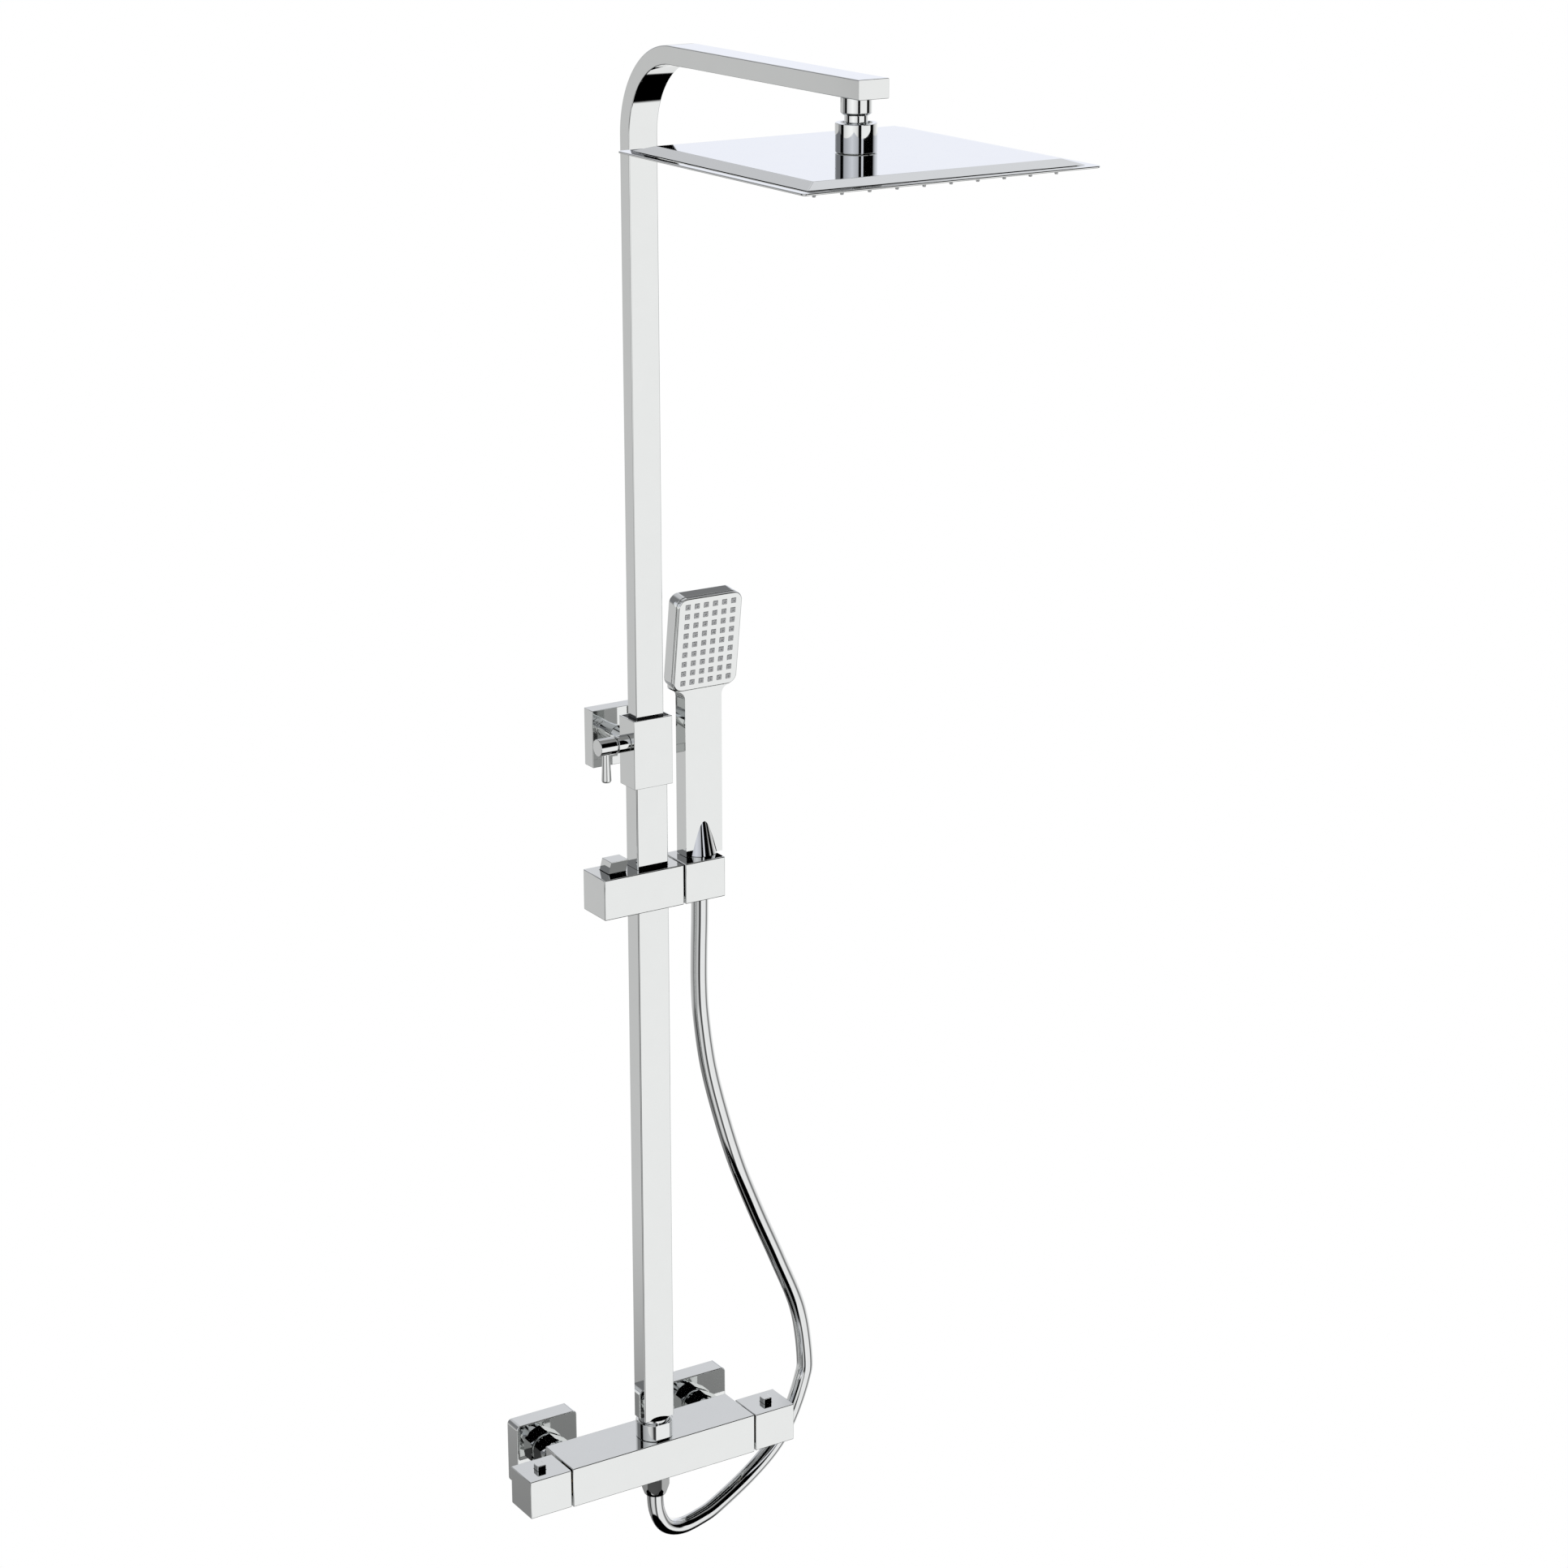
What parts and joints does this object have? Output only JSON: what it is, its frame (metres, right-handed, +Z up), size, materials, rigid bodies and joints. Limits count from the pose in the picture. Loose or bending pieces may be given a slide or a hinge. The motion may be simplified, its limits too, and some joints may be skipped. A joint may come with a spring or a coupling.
{
  "type": "rainfall shower column",
  "caption": "Wall-mounted shower column: bar mixer valve, telescopic riser with curved arm, square rain head, handset on a sliding holder and a hose.",
  "frame": {"origin": "centre of the upper wall bracket's back face, on the wall", "axes": "+Z up, +Y into the wall, -Y out into the room, +X to the right seen from the room"},
  "size_m": [0.3031, 0.491, 1.2819],
  "materials": {
    "polished_chrome": "mirror polished plate",
    "hose_chrome": "smooth silver hose cover",
    "brass": "machined",
    "steel": "zinc plated",
    "rubber": "matt",
    "silicone": "matt grey silicone",
    "black_plastic": "moulded, slightly satin",
    "white_plastic": "low-friction moulding"
  },
  "bodies": {
    "column": {"valve_body": "polished_chrome", "flow_cartridge": "brass", "thermostatic_cartridge": "brass", "inlet_nut_left": "polished_chrome", "inlet_nut_right": "polished_chrome", "inlet_union_left": "polished_chrome", "inlet_union_right": "polished_chrome", "inlet_washer_left": "rubber", "inlet_washer_right": "rubber", "rosette_left": "polished_chrome", "rosette_right": "polished_chrome", "riser_foot": "polished_chrome", "riser_nut": "polished_chrome", "lower_riser_tube": "polished_chrome", "bracket_base": "steel", "bracket_screw_left": "steel", "bracket_screw_right": "steel", "wall_plate": "polished_chrome", "bracket_arm": "polished_chrome", "clamp_sleeve": "polished_chrome", "sleeve_liner": "black_plastic", "knob_collar": "polished_chrome", "hose_outlet": "brass", "hose_washer": "rubber", "hose_nut": "polished_chrome", "shower_hose": "hose_chrome"},
    "flow_control": {"flow_handle": "polished_chrome"},
    "flow_stop": {"flow_stop_button": "polished_chrome"},
    "temperature_control": {"temperature_handle": "polished_chrome"},
    "temperature_stop": {"temperature_stop_button": "polished_chrome"},
    "clamp": {"clamp_knob": "polished_chrome", "clamp_spindle": "steel", "lever_rod": "polished_chrome"},
    "upper_riser": {"upper_riser_arm": "polished_chrome", "riser_guide": "white_plastic", "arm_outlet_nut": "polished_chrome", "swivel_ball": "polished_chrome"},
    "ball_ring": {"ball_seat": "white_plastic"},
    "rain_head": {"swivel_cap": "polished_chrome", "rain_head_cover": "polished_chrome", "rain_head_base": "polished_chrome", "rain_head_nozzles": "silicone"},
    "slider": {"slider_body": "polished_chrome", "release_pin": "steel", "brake_pad": "rubber", "swivel_pin": "steel", "friction_washer": "black_plastic"},
    "release": {"release_lever": "polished_chrome"},
    "holder": {"holder_block": "polished_chrome"},
    "handset": {"handset_shell": "polished_chrome", "handset_face": "polished_chrome", "handset_nozzles": "silicone", "hose_cone_nut": "polished_chrome"}
  },
  "joints": [
    {"name": "flow_turn", "type": "hinge", "parent": "column", "child": "flow_control", "pos_m": [-0.1108, -0.0712, -0.631], "axis": [1, 0, 0], "range_deg": [-90, 90]},
    {"name": "flow_stop_press", "type": "slide", "parent": "flow_control", "child": "flow_stop", "axis": [0, 0, -1], "range_m": [0, 0.0018], "stiffness_N_per_m": 400, "springref_m": -0.002},
    {"name": "temperature_turn", "type": "hinge", "parent": "column", "child": "temperature_control", "pos_m": [0.1108, -0.0712, -0.631], "axis": [1, 0, 0], "range_deg": [-100, 100]},
    {"name": "temperature_stop_press", "type": "slide", "parent": "temperature_control", "child": "temperature_stop", "axis": [0, 0, -1], "range_m": [0, 0.0018], "stiffness_N_per_m": 400, "springref_m": -0.002},
    {"name": "clamp_turn", "type": "hinge", "parent": "column", "child": "clamp", "pos_m": [-0.037, -0.0706, 0.008], "axis": [1, 0, 0], "range_deg": [-120, 120]},
    {"name": "riser_extend", "type": "slide", "parent": "column", "child": "upper_riser", "axis": [0, 0, 1], "range_m": [-0.2, 0.15]},
    {"name": "head_tilt_front_back", "type": "hinge", "parent": "upper_riser", "child": "ball_ring", "pos_m": [0, -0.3695, 0.5222], "axis": [1, 0, 0], "range_deg": [-8, 8]},
    {"name": "head_tilt_side", "type": "hinge", "parent": "ball_ring", "child": "rain_head", "pos_m": [0, -0.3695, 0.5222], "axis": [0, 1, 0], "range_deg": [-8, 8]},
    {"name": "slider_travel", "type": "slide", "parent": "column", "child": "slider", "axis": [0, 0, 1], "range_m": [-0.2, 0.05], "deforming": ["shower_hose"]},
    {"name": "release_press", "type": "hinge", "parent": "slider", "child": "release", "pos_m": [-0.0315, -0.0648, -0.1023], "axis": [-1, 0, 0], "range_deg": [0, 6], "stiffness_Nm_per_rad": 2, "springref_deg": -5.73},
    {"name": "holder_tilt", "type": "hinge", "parent": "slider", "child": "holder", "pos_m": [0.045, -0.07, -0.1153], "axis": [1, 0, 0], "range_deg": [-8, 40]},
    {"name": "handset_lift", "type": "slide", "parent": "holder", "child": "handset", "axis": [0, 0, 1], "range_m": [0, 0.08]}
  ]
}
